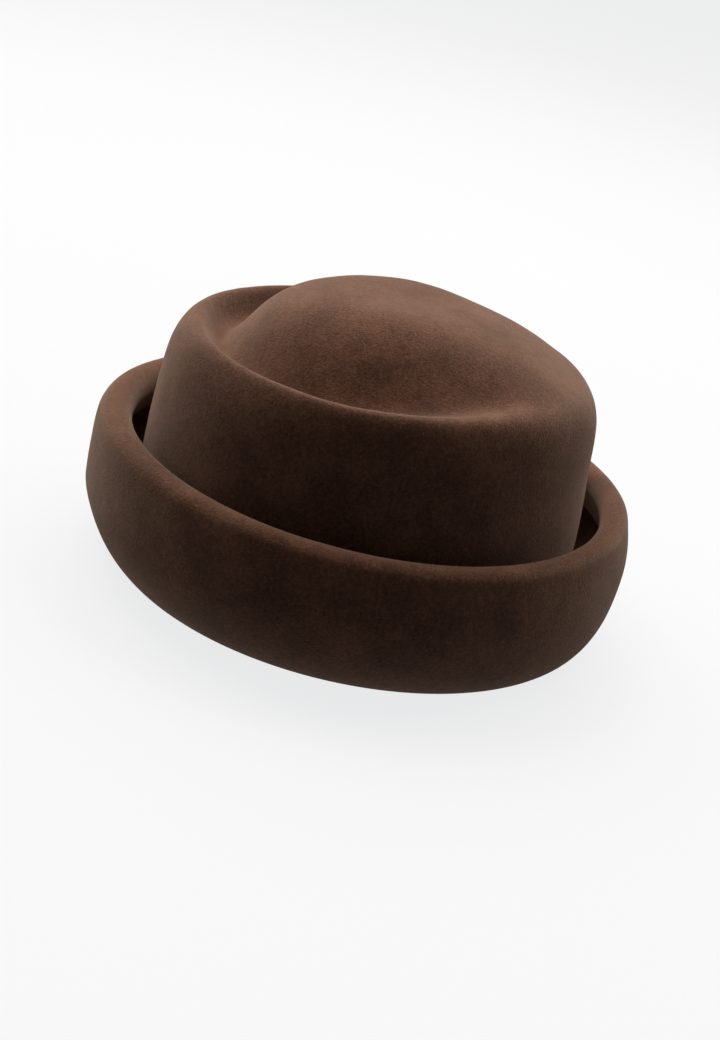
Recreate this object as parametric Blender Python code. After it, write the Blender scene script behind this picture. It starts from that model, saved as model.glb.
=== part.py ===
"""Brown felt bowler with a grooved crown and a turned-up, rolled brim.

Metres, +Z up. The front of the hat is -Y and its long axis lies along Y. The origin is the
bottom centre: the brim's flat ring rests on z = 0 around the head opening.
Every ring is worked out from the headline, the oval where the crown meets the brim.
"""
import math

import bmesh
import bpy
from mathutils import Vector

# Headline: the outside of the crown at its base.
HALF_LENGTH = 0.1035
HALF_WIDTH = 0.0927
FELT = 0.0024            # thickness of the blocked wool felt
GAP = 0.0003             # clearance between touching pieces

# Brim, as distances outwards from the headline and heights above the resting plane.
BRIM_FLAT = 0.0022       # outer edge of the flat ring that it rests on
BRIM_REACH = 0.0232      # widest point, outwards from the headline
BRIM_WIDEST_BACK = 0.0322  # height of the widest point
BRIM_WIDEST_FRONT = 0.0424
BELLY_BACK = 1.39        # superellipse powers of the curve under the brim
BELLY_SIDE = 1.93
BELLY_FRONT = 2.50
RIM_BACK = 0.0694        # height of the rolled rim
RIM_SIDE = 0.0650
RIM_FRONT = 0.0671
LEAN_BACK = 0.0011       # how far the rolled edge lies back in from the widest point
LEAN_SIDE = 0.0042
LEAN_FRONT = 0.0037
ROLL_BACK = 0.0078       # outer radius of the rolled edge
ROLL_SIDE = 0.0064
ROLL_FRONT = 0.0065
ROLL_START = math.radians(18) # slope at which the brim's wall runs into the roll
TURN_PAST = math.radians(22)  # how far the edge rolls past upright, in under itself
TURN_IN = 0.0110         # length of edge turned down inside the roll
COLLAR_TOP = 0.0120      # the brim's collar, inside the crown
BREAK_RADIUS = 0.0008    # eased corner between the collar and the flat ring

# Crown: control points of a smooth outline from the base to the peak, each a share of the
# headline oval and a height. A rounded ridge and a groove run round the back and the sides.
CROWN_BASE = FELT + GAP
PEAK = (0.0, 0.1397)
OUTLINE_BACK = [(1.000, CROWN_BASE), (1.000, 0.0483), (0.979, 0.0860), (0.950, 0.1082),
                (0.8485, 0.1175), (0.7985, 0.1044), (0.734, 0.0990), (0.599, 0.1268),
                (0.397, 0.1374), (0.1935, 0.1411), PEAK]
OUTLINE_SIDE = [(1.000, CROWN_BASE), (0.990, 0.0461), (0.9635, 0.0809), (0.9475, 0.0956),
                (0.8925, 0.1179), (0.809, 0.1148), (0.716, 0.1017), (0.5755, 0.1200),
                (0.3785, 0.1411), (0.1935, 0.1411), PEAK]
OUTLINE_FRONT = [(1.000, CROWN_BASE), (0.988, 0.0511), (0.9455, 0.0837), (0.9295, 0.1088),
                 (0.848, 0.1192), (0.785, 0.1220), (0.7195, 0.1256), (0.5635, 0.1335),
                 (0.3825, 0.1384), (0.1935, 0.1411), PEAK]
BACK_ENDS = math.radians(124)     # angle from the back where the back outline has faded out
FRONT_STARTS = math.radians(65.5) # angle from the back where the front outline begins
FRONT_FULL = math.radians(159)
PEAK_FORWARD = 0.0019             # the peak sits a little forward of the middle

# Edge wire and its joiner, inside the rolled rim.
WIRE_RADIUS = 0.0007
JOINER_RADIUS = 0.0016
JOINER_SHARE = 0.45      # reach of the joiner along the wire's first and last side
WIRE_END_SHARE = 0.05    # distance from the join to each wire end, as a share of one side

# Soft trim around the head opening, as thicknesses and heights.
TAPE = 0.0005
TAPE_HEIGHTS = (0.0010, 0.0150)
BAND = 0.0008
BAND_HEIGHTS = (0.0015, 0.0295)
LAP_SIDES = 1            # ring sides each side of the back where the band is doubled
LABEL = 0.0004
MAKER_LABEL_HEIGHTS = (0.0060, 0.0250)
SIZE_LABEL_HEIGHTS = (0.0215, 0.0335)
LINING = 0.0005
LINING_CLEARANCE = 0.0016
LINING_HEIGHTS = (0.0180, 0.0830)
LINING_SHOULDER = (0.865, 0.0885)  # share of the headline oval and height of the tip seam
TIP_OUTLINE = [(0.855, 0.0890), (0.740, 0.0915), (0.600, 0.1060), (0.400, 0.1235),
               (0.200, 0.1300), (0.0, 0.1310)]
SEAM_GAP = 0.0006        # height between the side lining and the tip at their seam

BOW_WIDTH = 0.0240
BOW_HEIGHT = 0.0070
BOW_DEPTH = 0.0040
BOW_MIDDLE = 0.0155      # height of the bow's middle
BOW_KNOT = 0.0050        # width of the knot
RIBBON = 0.0006
BOW_STANDOFF = 0.0018    # from the lapped band to the bow's back at its middle

SIDES = 48               # flat sides of every ring, the same for all of them
TURN = 2 * math.pi
FELT_BROWN = (0.115, 0.062, 0.042)
SATIN_BROWN = (0.120, 0.075, 0.050)
RIBBON_BROWN = (0.060, 0.034, 0.024)


def clear_scene():
    for item in list(bpy.data.objects):
        bpy.data.objects.remove(item, do_unlink=True)


def make_material(name, colour, roughness, metallic=0.0):
    material = bpy.data.materials.new(name)
    material.use_nodes = True
    shader = material.node_tree.nodes["Principled BSDF"]
    shader.inputs["Base Color"].default_value = (*colour, 1.0)
    shader.inputs["Roughness"].default_value = roughness
    shader.inputs["Metallic"].default_value = metallic
    return material


def make_object(name, points, faces, material, smooth=True):
    mesh = bpy.data.meshes.new(name)
    mesh.from_pydata([tuple(point) for point in points], [], faces)
    shape = bmesh.new()
    shape.from_mesh(mesh)
    bmesh.ops.recalc_face_normals(shape, faces=shape.faces)
    shape.to_mesh(mesh)
    shape.free()
    mesh.materials.append(material)
    if smooth:
        mesh.shade_smooth()
        mesh.set_sharp_from_angle(angle=math.radians(40))
    item = bpy.data.objects.new(name, mesh)
    bpy.context.scene.collection.objects.link(item)
    return item


def mix(first, second, share):
    return first + (second - first) * share


def smooth_step(value):
    value = min(max(value, 0.0), 1.0)
    return value * value * (3 - 2 * value)


def oval_point(angle, offset, height):
    """Point at an outward offset from the headline; angle 0 is the back, a half turn the front."""
    x, y = HALF_WIDTH * math.sin(angle), HALF_LENGTH * math.cos(angle)
    out = Vector((x / HALF_WIDTH ** 2, y / HALF_LENGTH ** 2)).normalized()
    return Vector((x + out.x * offset, y + out.y * offset, height))


def side_angles():
    return [TURN * side / SIDES for side in range(SIDES)]


def by_direction(angle, back, side, front):
    """Value that goes smoothly from the back, through the sides, to the front."""
    lengthwise = mix(front, back, (1 + math.cos(angle)) / 2)
    return lengthwise + (side - (back + front) / 2) * math.sin(angle) ** 2


def make_ring(name, outline_at, material):
    """Closed ring round the hat: outline_at(angle) gives its section's (offset, height)."""
    points = []
    for angle in side_angles():
        outline = outline_at(angle)
        points += [oval_point(angle, offset, height) for offset, height in outline]
    rows = len(outline)
    faces = []
    for side in range(SIDES):
        here, there = side * rows, ((side + 1) % SIDES) * rows
        for row in range(rows):
            above = (row + 1) % rows
            faces.append((here + row, there + row, there + above, here + above))
    return make_object(name, points, faces, material)


def make_strip(name, start, sides, outline, material):
    """Closed strip along part of a ring, from ring corner start over the given sides."""
    points = []
    for corner in range(start, start + sides + 1):
        angle = TURN * corner / SIDES
        points += [oval_point(angle, offset, height) for offset, height in outline]
    rows = len(outline)
    faces = [tuple(range(rows - 1, -1, -1))]
    for column in range(sides):
        here, there = column * rows, (column + 1) * rows
        for row in range(rows):
            above = (row + 1) % rows
            faces.append((here + row, here + above, there + above, there + row))
    faces.append(tuple(range(sides * rows, (sides + 1) * rows)))
    return make_object(name, points, faces, material)


def belly(widest, thickness, power, steps):
    """Superellipse quarter from the flat ring to the widest point, at a depth in the felt."""
    reach = BRIM_REACH - thickness - BRIM_FLAT
    rise = widest - thickness
    curve = []
    for step in range(1, steps + 1):
        turn = math.pi / 2 * step / steps
        curve.append((BRIM_FLAT + reach * math.sin(turn) ** (2 / power),
                      thickness + rise * (1 - math.cos(turn) ** (2 / power))))
    return curve


def roll_radius(angle):
    return by_direction(angle, ROLL_BACK, ROLL_SIDE, ROLL_FRONT)


def roll_centre(angle):
    rim = by_direction(angle, RIM_BACK, RIM_SIDE, RIM_FRONT)
    lean = by_direction(angle, LEAN_BACK, LEAN_SIDE, LEAN_FRONT)
    return BRIM_REACH - lean - roll_radius(angle), rim - roll_radius(angle)


def brim_skin(angle, thickness, belly_steps=8, roll_steps=8):
    """One face of the brim's felt, from the flat ring round the rim to the turned-in edge."""
    widest = by_direction(angle, BRIM_WIDEST_BACK,
                          (BRIM_WIDEST_BACK + BRIM_WIDEST_FRONT) / 2, BRIM_WIDEST_FRONT)
    power = by_direction(angle, BELLY_BACK, BELLY_SIDE, BELLY_FRONT)
    centre, height = roll_centre(angle)
    skin = belly(widest, thickness, power, belly_steps)
    radius = roll_radius(angle) - thickness
    reach = BRIM_REACH - thickness
    joined = (centre + radius * math.cos(ROLL_START), height + radius * math.sin(ROLL_START))
    corner = joined[1] - (reach - joined[0]) / math.tan(ROLL_START)
    for share in (1 / 3, 2 / 3):
        skin.append((mix(reach, joined[0], share ** 2),
                     mix(mix(widest, corner, share), mix(corner, joined[1], share), share)))
    for step in range(roll_steps + 1):
        turn = mix(ROLL_START, math.pi + TURN_PAST, step / roll_steps)
        skin.append((centre + radius * math.cos(turn), height + radius * math.sin(turn)))
    rolled_to = skin[-1]
    skin.append((rolled_to[0] + TURN_IN * math.sin(TURN_PAST),
                 rolled_to[1] - TURN_IN * math.cos(TURN_PAST)))
    return skin


def make_brim(material):
    inner = -(2 * FELT + GAP)
    outer = -(FELT + GAP)

    def outline(angle):
        start = [(outer, COLLAR_TOP), (inner, COLLAR_TOP), (inner, BREAK_RADIUS),
                 (inner + BREAK_RADIUS, 0.0), (BRIM_FLAT, 0.0)]
        back = list(reversed(brim_skin(angle, FELT)))
        return start + brim_skin(angle, 0.0) + back + [(BRIM_FLAT, FELT), (outer, FELT)]

    return make_ring("brim", outline, material)


def spline_point(points, place):
    """Point of the uniform cubic B-spline; the last control point is the peak on the axis."""
    before_first = tuple(2 * a - b for a, b in zip(points[0], points[1]))
    after_last = (-points[-2][0], points[-2][1])
    extended = [before_first, *points, after_last]
    part = min(int(place), len(points) - 2)
    t = place - part
    shares = ((1 - t) ** 3 / 6, (3 * t ** 3 - 6 * t ** 2 + 4) / 6,
              (-3 * t ** 3 + 3 * t ** 2 + 3 * t + 1) / 6, t ** 3 / 6)
    return [sum(share * extended[part + k][axis] for k, share in enumerate(shares))
            for axis in (0, 1)]


def crown_point(angle, place):
    """Point on the crown's outside; place runs from 0 at the base to the peak."""
    from_back = abs((angle + math.pi) % TURN - math.pi)
    front = smooth_step((from_back - FRONT_STARTS) / (FRONT_FULL - FRONT_STARTS))
    back = (1 - smooth_step(from_back / BACK_ENDS)) * (1 - front)
    side = 1 - front - back
    size = height = 0.0
    for share, outline in ((back, OUTLINE_BACK), (side, OUTLINE_SIDE), (front, OUTLINE_FRONT)):
        if share:
            outline_size, outline_height = spline_point(outline, place)
            size += share * outline_size
            height += share * outline_height
    forward = PEAK_FORWARD * (1 - size ** 2)
    return Vector((size * HALF_WIDTH * math.sin(angle),
                   size * HALF_LENGTH * math.cos(angle) - forward, height))


def crown_normal(angle, place):
    step = 0.01
    along = crown_point(angle, place + step) - crown_point(angle, place - step)
    around = crown_point(angle + step, place) - crown_point(angle - step, place)
    return around.cross(along).normalized() * -1


def dome_faces(rows, outer_peak, inner_peak):
    """Faces of a cap made of an outer skin, an inner skin and the edge that joins them."""
    faces = []
    for side in range(SIDES):
        here, there = side, (side + 1) % SIDES
        for row in range(rows - 1):
            low, high = row * SIDES, (row + 1) * SIDES
            faces.append((low + there, low + here, high + here, high + there))
        top = (rows - 1) * SIDES
        faces.append((top + there, top + here, outer_peak))
        base = outer_peak + 1
        for row in range(rows - 1):
            low, high = base + row * SIDES, base + (row + 1) * SIDES
            faces.append((low + here, low + there, high + there, high + here))
        top = base + (rows - 1) * SIDES
        faces.append((top + here, top + there, inner_peak))
        faces.append((here, there, base + there, base + here))
    return faces


def make_crown(material):
    last = len(OUTLINE_BACK) - 1
    places = [step / 2 for step in range(2 * last)]
    outer, inner = [], []
    for place in places:
        for angle in side_angles():
            point = crown_point(angle, place)
            outer.append(point)
            if place:
                inner.append(point - crown_normal(angle, place) * FELT)
            else:
                inner.append(oval_point(angle, -FELT, CROWN_BASE))
    peak = crown_point(0.0, last)
    points = outer + [peak] + inner + [peak - Vector((0, 0, FELT))]
    faces = dome_faces(len(places), len(outer), len(points) - 1)
    return make_object("crown", points, faces, material)


def wire_path():
    """The wire's corners, under the top of the rolled edge, one for each ring side."""
    path = []
    for angle in side_angles():
        offset, height = roll_centre(angle)
        rise = roll_radius(angle) - FELT - GAP - JOINER_RADIUS
        path.append(oval_point(angle, offset, height + rise))
    return path


def sweep(path, radii, corners=8):
    """Columns of points round an open path, one loop of corners for each radius."""
    columns = []
    for index, point in enumerate(path):
        before, after = path[max(index - 1, 0)], path[min(index + 1, len(path) - 1)]
        forward = (after - before).normalized()
        across = forward.cross(Vector((0, 0, 1))).normalized()
        up = across.cross(forward)
        columns.append([[point + radius * (across * math.cos(TURN * k / corners)
                                           + up * math.sin(TURN * k / corners))
                         for k in range(corners)] for radius in radii])
    return columns


def make_edge_wire(material, path):
    ends = [path[0].lerp(path[1], WIRE_END_SHARE), path[0].lerp(path[-1], WIRE_END_SHARE)]
    columns = sweep([ends[0], *path[1:], ends[1]], [WIRE_RADIUS])
    points = [point for column in columns for point in column[0]]
    corners, count = len(columns[0][0]), len(columns)
    faces = [tuple(range(corners - 1, -1, -1))]
    for column in range(count - 1):
        here, there = column * corners, (column + 1) * corners
        for k in range(corners):
            after = (k + 1) % corners
            faces.append((here + k, here + after, there + after, there + k))
    faces.append(tuple(range((count - 1) * corners, count * corners)))
    return make_object("brim_edge_wire", points, faces, material)


def make_wire_joiner(material, path):
    ends = [path[0].lerp(path[-1], JOINER_SHARE), path[0], path[0].lerp(path[1], JOINER_SHARE)]
    columns = sweep(ends, [JOINER_RADIUS, WIRE_RADIUS + GAP])
    corners = len(columns[0][0])
    points = [point for column in columns for loop in column for point in loop]
    width = 2 * corners
    faces = []
    for k in range(corners):
        after = (k + 1) % corners
        for column in range(len(columns) - 1):
            here, there = column * width, (column + 1) * width
            faces.append((here + k, here + after, there + after, there + k))
            faces.append((here + corners + after, here + corners + k,
                          there + corners + k, there + corners + after))
        end = (len(columns) - 1) * width
        faces.append((k, corners + k, corners + after, after))
        faces.append((end + after, end + corners + after, end + corners + k, end + k))
    return make_object("wire_joiner", points, faces, material)


def box_outline(outer, inner, heights):
    low, high = heights
    return [(outer, low), (outer, high), (inner, high), (inner, low)]


def tape_outside():
    return -(2 * FELT + 2 * GAP)


def band_outside():
    return tape_outside() - TAPE - GAP


def make_headline_tape(material):
    outside = tape_outside()
    return make_ring("headline_tape",
                     lambda angle: box_outline(outside, outside - TAPE, TAPE_HEIGHTS), material)


def make_sweatband(material):
    """Ribbon band inside the head opening, doubled where its ends lap at the back."""
    outside = band_outside()
    lap = TURN * (LAP_SIDES + 0.5) / SIDES

    def outline(angle):
        doubled = min(angle, TURN - angle) < lap
        inside = outside - BAND * (2 if doubled else 1)
        return box_outline(outside, inside, BAND_HEIGHTS)

    return make_ring("sweatband", outline, material)


def make_labels(maker_material, size_material):
    face = band_outside() - BAND - GAP
    quarter = SIDES // 4
    make_strip("maker_label", quarter - 1, 3,
               box_outline(face, face - LABEL, MAKER_LABEL_HEIGHTS), maker_material)
    make_strip("size_label", 3 * quarter, 1,
               box_outline(face, face - LABEL, SIZE_LABEL_HEIGHTS), size_material)


def wall_offset(height):
    """Offset of the crown's outside from the headline, on its nearly straight lower wall."""
    taper = (1 - OUTLINE_SIDE[2][0]) * HALF_WIDTH
    return -taper * (height / OUTLINE_SIDE[2][1]) ** 1.5


def make_side_lining(material):
    low, high = LINING_HEIGHTS
    steps = 4
    shoulder_size, shoulder_height = LINING_SHOULDER

    def outline(angle):
        outer, inner = [], []
        for step in range(steps + 1):
            height = mix(low, high, step / steps)
            offset = wall_offset(height) - FELT - LINING_CLEARANCE
            outer.append((offset, height))
            inner.append((offset - LINING, height))
        across = math.hypot(HALF_WIDTH * math.sin(angle), HALF_LENGTH * math.cos(angle))
        seam = -(1 - shoulder_size) * across
        corner = mix(outer[-1][0], seam, 0.4)
        top = [(corner, shoulder_height - 0.2 * (shoulder_height - high)),
               (seam, shoulder_height)]
        under = [(seam, shoulder_height - LINING), (corner, top[0][1] - LINING)]
        return outer + top + under + list(reversed(inner))

    return make_ring("lining_side", outline, material)


def make_tip_lining(material):
    """Oval top piece of the lining, a shallow cap under the crown."""
    count = len(TIP_OUTLINE) - 1
    outer, inner = [], []
    for place in range(count):
        size, height = spline_point(TIP_OUTLINE, place)
        forward = PEAK_FORWARD * (1 - size ** 2)
        for angle in side_angles():
            point = Vector((size * HALF_WIDTH * math.sin(angle),
                            size * HALF_LENGTH * math.cos(angle) - forward, height + SEAM_GAP))
            outer.append(point)
            inner.append(point - Vector((0, 0, LINING)))
    size, height = spline_point(TIP_OUTLINE, count)
    peak = Vector((0, -PEAK_FORWARD, height + SEAM_GAP))
    points = outer + [peak] + inner + [peak - Vector((0, 0, LINING))]
    faces = dome_faces(count, len(outer), len(points) - 1)
    return make_object("lining_tip", points, faces, material)


def bow_half(direction, middle, corners=6):
    """Outer and inner outline of one ribbon loop, seen from above, from the knot outwards."""
    reach = BOW_WIDTH / 2
    radius = BOW_DEPTH / 2
    outer, inner = [], []
    for k in range(corners + 1):
        turn = math.pi * k / corners - math.pi / 2
        outer.append((direction * (reach - radius + radius * math.cos(turn)),
                      middle + radius * math.sin(turn)))
        inner.append((direction * (reach - radius + (radius - RIBBON) * math.cos(turn)),
                      middle + (radius - RIBBON) * math.sin(turn)))
    return outer, inner


def make_bow(loop_material, knot_material):
    back = HALF_LENGTH + band_outside() - 2 * BAND - BOW_STANDOFF
    middle = back - BOW_DEPTH / 2
    low, high = BOW_MIDDLE - BOW_HEIGHT / 2, BOW_MIDDLE + BOW_HEIGHT / 2
    waist = RIBBON + GAP
    pinch = BOW_KNOT / 2 + GAP
    right_outer, right_inner = bow_half(1, middle)
    left_outer, left_inner = bow_half(-1, middle)
    outline = ([(pinch, middle - waist)] + right_outer + [(pinch, middle + waist),
               (-pinch, middle + waist)] + list(reversed(left_outer))
               + [(-pinch, middle - waist)])
    holes = [[(pinch + RIBBON, middle)] + right_inner, [(-pinch - RIBBON, middle)] + left_inner]
    loops = extrude_outline("sweatband_bow", outline, low, high, loop_material)
    for number, hole in enumerate(holes):
        cutter = extrude_outline(f"bow_cutter_{number}", hole, low - FELT, high + FELT,
                                 loop_material)
        cutter.hide_render = True
        cutter.display_type = "WIRE"
        cut = loops.modifiers.new(f"hole_{number}", "BOOLEAN")
        cut.operation = "DIFFERENCE"
        cut.solver = "EXACT"
        cut.object = cutter
    make_knot(middle, waist + GAP, low, high, knot_material)


def make_knot(middle, inside, low, high, material):
    """Short sleeve of ribbon wrapped round the bow's waist."""
    half = BOW_KNOT / 2
    outside = inside + RIBBON
    points = []
    for x in (-half, half):
        for depth, gap in ((outside, RIBBON + GAP), (inside, GAP)):
            points += [(x, middle - depth, low - gap), (x, middle + depth, low - gap),
                       (x, middle + depth, high + gap), (x, middle - depth, high + gap)]
    faces = []
    for k in range(4):
        after = (k + 1) % 4
        faces += [(k, after, after + 8, k + 8), (k + 4, k + 12, after + 12, after + 4),
                  (k, k + 4, after + 4, after), (k + 8, after + 8, after + 12, k + 12)]
    return make_object("bow_knot", points, faces, material, smooth=False)


def extrude_outline(name, outline, low, high, material):
    """Upright prism with the given outline, seen from above."""
    count = len(outline)
    points = [(x, y, low) for x, y in outline] + [(x, y, high) for x, y in outline]
    faces = [tuple(range(count - 1, -1, -1)), tuple(range(count, 2 * count))]
    faces += [(k, (k + 1) % count, count + (k + 1) % count, count + k) for k in range(count)]
    return make_object(name, points, faces, material)


def main():
    clear_scene()
    make_crown(make_material("crown_felt", FELT_BROWN, 0.95))
    make_brim(make_material("brim_felt", FELT_BROWN, 0.95))
    path = wire_path()
    make_edge_wire(make_material("millinery_wire", (0.35, 0.33, 0.30), 0.45, 1.0), path)
    make_wire_joiner(make_material("joiner_brass", (0.60, 0.42, 0.18), 0.35, 1.0), path)
    make_headline_tape(make_material("stay_tape", (0.30, 0.26, 0.21), 0.90))
    make_sweatband(make_material("petersham", RIBBON_BROWN, 0.75))
    make_side_lining(make_material("side_satin", SATIN_BROWN, 0.40))
    make_tip_lining(make_material("tip_satin", SATIN_BROWN, 0.40))
    make_labels(make_material("maker_label_cloth", (0.55, 0.47, 0.36), 0.80),
                make_material("size_label_cloth", (0.70, 0.66, 0.58), 0.80))
    make_bow(make_material("bow_ribbon", RIBBON_BROWN, 0.60),
             make_material("knot_ribbon", RIBBON_BROWN, 0.60))


main()
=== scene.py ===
"""Looks of the brown felt bowler: its felt, ribbon, satin, wire and sewing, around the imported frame.

Metres, +Z up, the front of the hat is -Y. Angle 0 is the back of the hat, a quarter turn is the
wearer's left (+X) and a half turn is the front. An offset is measured outwards from the headline,
the oval where the crown meets the brim.
"""
import math

import bpy
import numpy as np
from mathutils import Matrix, Vector, noise


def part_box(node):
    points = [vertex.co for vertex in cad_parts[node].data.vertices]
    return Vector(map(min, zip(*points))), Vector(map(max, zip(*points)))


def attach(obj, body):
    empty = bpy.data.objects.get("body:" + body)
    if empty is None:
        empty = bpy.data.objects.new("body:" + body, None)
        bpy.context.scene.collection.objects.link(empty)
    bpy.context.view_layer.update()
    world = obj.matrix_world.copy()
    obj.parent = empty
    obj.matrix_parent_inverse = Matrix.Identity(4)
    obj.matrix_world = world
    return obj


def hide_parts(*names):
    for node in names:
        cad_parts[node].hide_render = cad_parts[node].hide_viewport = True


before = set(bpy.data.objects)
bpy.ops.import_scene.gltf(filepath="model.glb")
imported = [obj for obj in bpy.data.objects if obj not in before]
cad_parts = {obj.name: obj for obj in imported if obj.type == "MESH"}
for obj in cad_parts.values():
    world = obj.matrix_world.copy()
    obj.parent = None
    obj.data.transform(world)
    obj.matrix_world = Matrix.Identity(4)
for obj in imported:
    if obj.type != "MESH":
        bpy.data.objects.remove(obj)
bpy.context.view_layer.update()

TURN = 2 * math.pi

# Headline and felt, from the frame.
HALF_WIDTH, HALF_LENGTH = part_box("crown")[1].xy
HAT_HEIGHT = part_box("crown")[1].z
FELT = 0.0024
GAP = 0.0003

# Brim, as offsets from the headline and heights above the floor.
BRIM_FLAT = 0.0022
BRIM_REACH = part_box("brim")[1].x - HALF_WIDTH
BRIM_WIDEST = (0.0322, 0.0373, 0.0424)  # back, side, front
BELLY_POWER = (1.39, 1.93, 2.50)
RIM_HEIGHT = (0.0694, 0.0650, 0.0671)
RIM_LEAN = (0.0011, 0.0042, 0.0037)     # the roll lies this far in from the widest point
ROLL_RADIUS = (0.0078, 0.0064, 0.0065)
ROLL_START = math.radians(18)           # where the wall runs smoothly into the roll
TURN_PAST = math.radians(22)
TURN_IN = 0.0110
COLLAR_TOP = 0.0120
BREAK_RADIUS = 0.0008
SHARP_EDGE = math.radians(60)

# Crown: control points of its outline, each a share of the headline oval and a height.
CROWN_BASE = FELT + GAP
PEAK = (0.0, 0.1397)
OUTLINE_BACK = [(1.000, CROWN_BASE), (1.000, 0.0483), (0.979, 0.0860), (0.950, 0.1082),
                (0.8485, 0.1175), (0.7985, 0.1044), (0.734, 0.0990), (0.599, 0.1268),
                (0.397, 0.1374), (0.1935, 0.1411), PEAK]
OUTLINE_SIDE = [(1.000, CROWN_BASE), (0.990, 0.0461), (0.9635, 0.0809), (0.9475, 0.0956),
                (0.8925, 0.1179), (0.809, 0.1148), (0.716, 0.1017), (0.5755, 0.1200),
                (0.3785, 0.1411), (0.1935, 0.1411), PEAK]
OUTLINE_FRONT = [(1.000, CROWN_BASE), (0.988, 0.0511), (0.9455, 0.0837), (0.9295, 0.1088),
                 (0.848, 0.1192), (0.785, 0.1220), (0.7195, 0.1256), (0.5635, 0.1335),
                 (0.3825, 0.1384), (0.1935, 0.1411), PEAK]
BACK_ENDS = math.radians(124)
FRONT_STARTS = math.radians(65.5)
FRONT_FULL = math.radians(159)
PEAK_FORWARD = 0.0019

# Trim inside the hat. Offsets are of its outer faces. Labels: name, CAD node and end angles.
TAPE = 0.0005
BAND_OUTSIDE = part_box("sweatband")[1].x - HALF_WIDTH
BAND_LOW, BAND_HIGH = (corner.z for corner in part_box("sweatband"))
BAND_STEP = 0.0008                      # how far the band's last end lies over its first
BAND = BAND_STEP - 0.0002
BAND_LAP = math.radians(11.25)
LAP_RISE = 0.03                         # angle over which that end climbs onto the other
LAP_SEAM = BAND_LAP - 0.018             # angle of the stitches that hold it down
RIB_DEPTH = 0.00014
PICOT = 0.0006
LABEL, LABEL_FOLD, LABEL_BUCKLE = 0.0004, 0.00022, 0.00018
LABEL_FACE = BAND_OUTSIDE - BAND_STEP - GAP
LABELS = (("maker_label", "maker_label", math.radians(82.5), math.radians(105)),
          ("size_tab", "size_label", math.radians(270), math.radians(277.5)))
WALL_TAPER, WALL_TOP = 1 - OUTLINE_SIDE[2][0], OUTLINE_SIDE[2][1]   # lean of the crown wall
LINING = 0.0005
LINING_CLEARANCE = 0.0016
LINING_ROWS = 30                        # up the straight part of its side
LINING_HEIGHTS = (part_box("lining_side")[0].z, 0.0830)
LINING_SHOULDER = (0.865, 0.0885)
TIP_OUTLINE = [(0.855, 0.0890), (0.740, 0.0915), (0.600, 0.1060), (0.400, 0.1235),
               (0.200, 0.1300), (0.0, 0.1310)]
SEAM_GAP = 0.0006
RIBBON = 0.0006
BOW_CLOSER = 0.0008                     # the bow curves with the band, so it lies nearer to it
WIRE_RADIUS = 0.0007
WIRE_START = math.radians(0.4)
JOINER_RADIUS = 0.0016
JOINER_HALF = math.radians(3.3)

# Camera, where the hat is seen from its right side, and rolled as the hat is tipped.
VIEW_AZIMUTH = math.radians(-0.18)
VIEW_ELEVATION = math.radians(23.57)
VIEW_ROLL = math.radians(13.39)
VIEW_DISTANCE = 0.7022
LENS_MM, SENSOR_MM = 52.45, 36.0
AIM_HEIGHT = 0.4 * HAT_HEIGHT
AIM_BELOW = 0.0240       # how far under the hat's middle the camera aims
AIM_LEFT = 0.0030

# Studio. Softboxes by name, turn in degrees from +X, which is beyond the hat, watts and tint;
# sky lights by direction, strength and tint.
STAGE_RADIUS = 40.0
SOFTBOX_RISE = math.radians(55)
SOFTBOX_DISTANCE, SOFTBOX_SIZE = 1.6, 0.9
SOFTBOXES = (("softbox_behind", 0.0, 13.5, (1.0, 0.93, 0.86)),
             ("softbox_back_side", 55.0, 13.0, (1.0, 0.94, 0.88)),
             ("softbox_front_side", -55.0, 8.5, (1.0, 0.94, 0.88)))
SKY_FALL_OFF = 3.0
SKY_LIGHTS = (((0.6, 0.7, 0.4), 1.05, (1.0, 0.95, 0.90)),
              ((1.0, 0.0, 0.7), 0.75, (1.0, 0.94, 0.88)),
              ((0.6, -0.7, 0.4), 0.10, (1.0, 0.95, 0.90)),
              ((-0.4, -1.0, 0.1), 0.33, (0.85, 0.93, 1.0)),
              ((0.0, 1.0, 0.1), 0.15, (0.85, 0.93, 1.0)),
              ((0.0, 0.0, -1.0), 0.62, (1.0, 0.95, 0.90)))


# ---- shapes ----

def oval(angle, offset, height):
    """Points at outward offsets from the headline. Arrays are broadcast together."""
    x, y = HALF_WIDTH * np.sin(angle), HALF_LENGTH * np.cos(angle)
    out_x, out_y = x / HALF_WIDTH ** 2, y / HALF_LENGTH ** 2
    length = np.hypot(out_x, out_y)
    return np.stack(np.broadcast_arrays(x + offset * out_x / length,
                                        y + offset * out_y / length, height), axis=-1)


def inwards(angle):
    """Unit vectors that point from the headline into the hat."""
    return oval(angle, -1.0, 0.0) - oval(angle, 0.0, 0.0)


def smooth_step(value):
    value = np.clip(value, 0.0, 1.0)
    return value * value * (3 - 2 * value)


def by_direction(angle, back, side, front):
    """Value that goes smoothly from the back, through the sides, to the front."""
    lengthwise = front + (back - front) * (1 + np.cos(angle)) / 2
    return lengthwise + (side - (back + front) / 2) * np.sin(angle) ** 2


def ring_angles(columns):
    return np.arange(columns) * TURN / columns


def waves(points, size, seed):
    """Smooth noise from -1 to 1 at each point, with bumps of about the given size."""
    flat = points.reshape(-1, 3) / size + seed * np.array([17.3, 5.1, 9.7])
    return np.array([noise.noise(Vector(p)) for p in flat]).reshape(points.shape[:-1])


def normals_of(grid):
    """Outward unit normals of a grid of points whose columns close into a ring."""
    around = np.roll(grid, -1, axis=1) - np.roll(grid, 1, axis=1)
    along = np.gradient(grid, axis=0)
    normal = np.cross(along, around)
    return normal / np.linalg.norm(normal, axis=-1, keepdims=True)


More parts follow.
